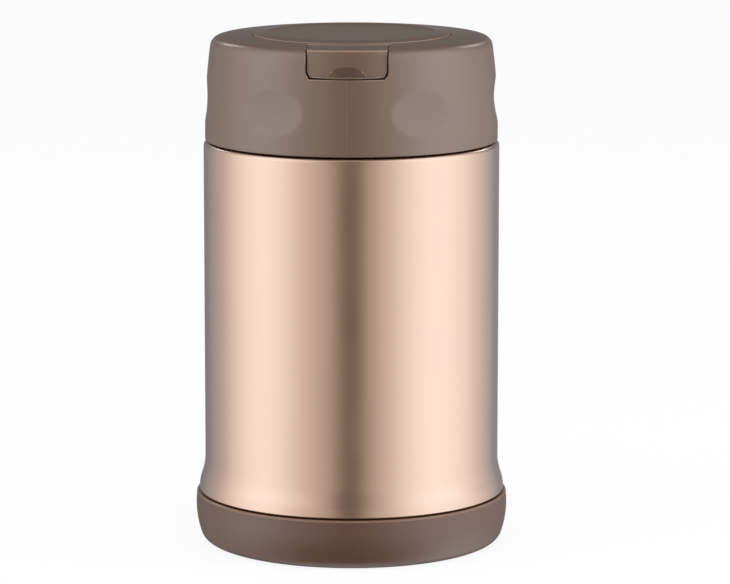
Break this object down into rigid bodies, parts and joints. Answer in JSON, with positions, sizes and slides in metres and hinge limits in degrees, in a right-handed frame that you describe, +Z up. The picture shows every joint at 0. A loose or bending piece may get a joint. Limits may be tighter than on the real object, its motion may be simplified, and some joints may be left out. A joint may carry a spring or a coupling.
{
  "type": "insulated food jar",
  "caption": "Wide-mouth vacuum food jar with a steel body, plastic base cover, and an insulated screw lid whose cover is held by a hinged front release tab.",
  "frame": {"origin": "centre of the base cover's foot ring, on the surface that the jar stands on", "axes": "+Z up along the jar's axis, -Y towards the front, where the release tab is, +X to the right of someone who faces the tab"},
  "size_m": [0.0956, 0.0956, 0.1569],
  "materials": {
    "shell_paint": "satin",
    "bare_steel": "satin",
    "seal_bead": "satin",
    "foil": "polished",
    "getter_metal": "matte",
    "base_plastic": "satin",
    "cushion_rubber": "matte",
    "gasket_silicone": "matte",
    "inner_lid_plastic": "satin",
    "foam": "matte",
    "lid_plastic": "satin"
  },
  "bodies": {
    "jar": {"outer_shell": "shell_paint", "inner_vessel": "bare_steel", "shell_bottom": "bare_steel", "vacuum_seal": "seal_bead", "heat_shield": "foil", "getter": "getter_metal", "base_cover": "base_plastic", "base_cushion": "cushion_rubber"},
    "seal": {"mouth_gasket": "gasket_silicone"},
    "lid": {"lid_cover": "lid_plastic", "top_plate": "lid_plastic", "inner_lid": "inner_lid_plastic", "insulation_foam": "foam", "foam_cap": "inner_lid_plastic"},
    "tab": {"release_tab": "lid_plastic"}
  },
  "joints": [
    {"name": "lid_rise", "type": "slide", "parent": "jar", "child": "seal", "axis": [0, 0, 1], "range_m": [0, 0.048]},
    {"name": "lid_turn", "type": "hinge", "parent": "seal", "child": "lid", "pos_m": [0, 0, 0.1399], "axis": [0, 0, 1], "range_deg": [0, 1440]},
    {"name": "tab_hinge", "type": "hinge", "parent": "lid", "child": "tab", "pos_m": [0, -0.0332, 0.15417], "axis": [-1, 0, 0], "range_deg": [0, 85]}
  ],
  "couplings": [
    {"joint": "lid_rise", "follows": "lid_turn", "m_per_rad": 0.0019099}
  ]
}
